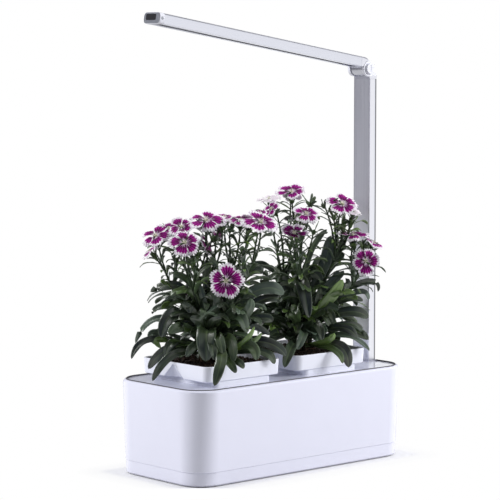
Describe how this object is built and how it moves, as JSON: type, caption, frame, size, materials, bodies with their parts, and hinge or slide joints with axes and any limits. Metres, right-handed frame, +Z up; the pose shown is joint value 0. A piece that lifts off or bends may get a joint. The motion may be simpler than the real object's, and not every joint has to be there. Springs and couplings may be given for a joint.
{
  "type": "countertop hydroponic garden",
  "caption": "Countertop hydroponic garden: water base with a deck, lift-out pots with flowering dianthus, and a post with a tilting LED arm.",
  "frame": {"origin": "centre of the base footprint, on the table surface under the rest boss", "axes": "+Z up, +X along the base towards the lamp post, -Y the front long side, +Y the side with the power inlet"},
  "size_m": [0.3695, 0.1688, 0.5661],
  "materials": {
    "shell": "satin white moulding",
    "cover": "matt white moulding",
    "rubber": "matt black",
    "steel": "zinc plated",
    "liner": "matt grey moulding",
    "float": "matt orange foam",
    "circuit_board": "solder mask",
    "black_plastic": "satin black",
    "deck": "metallised silver gloss",
    "pot": "gloss white",
    "soil": "loose dark granules",
    "wick": "felt strip",
    "alloy": "satin anodised",
    "white_plastic": "satin white moulding",
    "lens": "dark smoked",
    "led": "phosphor yellow",
    "silver": "metallised satin",
    "leaf": "waxy green leaf",
    "petal": "velvety magenta petal"
  },
  "bodies": {
    "base": {"board_screw_1": "steel", "board_screw_2": "steel", "bottom_cover": "cover", "control_board": "circuit_board", "cover_screw_1": "steel", "cover_screw_2": "steel", "cover_screw_3": "steel", "cover_screw_4": "steel", "dc_inlet": "black_plastic", "deck_plate": "deck", "float_guide": "liner", "foot_clamp_plate": "steel", "foot_screw_front": "steel", "foot_screw_rear": "steel", "friction_washer_front": "black_plastic", "friction_washer_rear": "black_plastic", "hinge_cap_front": "white_plastic", "hinge_cap_rear": "white_plastic", "hinge_nut": "steel", "hinge_pin": "steel", "inlet_nut": "steel", "lamp_yoke": "white_plastic", "outer_shell": "shell", "post_extrusion": "alloy", "post_foot": "alloy", "rubber_foot_1": "rubber", "rubber_foot_2": "rubber", "rubber_foot_3": "rubber", "rubber_foot_4": "rubber", "spring_washer": "steel", "water_tank": "liner"},
    "pot_left": {"pot_left": "pot", "medium_left": "soil", "wick_left": "wick", "leaves_left": "leaf", "blooms_left": "petal"},
    "pot_right": {"pot_right": "pot", "medium_right": "soil", "wick_right": "wick", "leaves_right": "leaf", "blooms_right": "petal"},
    "lamp_arm": {"arm_knuckle": "white_plastic", "arm_channel": "alloy", "lamp_lens": "lens", "led_board": "black_plastic", "led_strip_front": "led", "led_strip_rear": "led", "arm_tip_cap": "white_plastic", "tip_bezel": "silver", "touch_window": "black_plastic", "tip_side_plug": "silver"},
    "level_float": {"level_float": "float"}
  },
  "joints": [
    {"name": "arm_tilt", "type": "hinge", "parent": "base", "child": "lamp_arm", "pos_m": [0.16, -0.011, 0.4977], "axis": [0, 1, 0], "range_deg": [-25, 81.1]},
    {"name": "pot_left_lift", "type": "slide", "parent": "base", "child": "pot_left", "axis": [0, 0, 1], "range_m": [0, 0.06]},
    {"name": "pot_right_lift", "type": "slide", "parent": "base", "child": "pot_right", "axis": [0, 0, 1], "range_m": [0, 0.06]},
    {"name": "float_rise", "type": "slide", "parent": "base", "child": "level_float", "axis": [0, 0, 1], "range_m": [0, 0.06]}
  ]
}
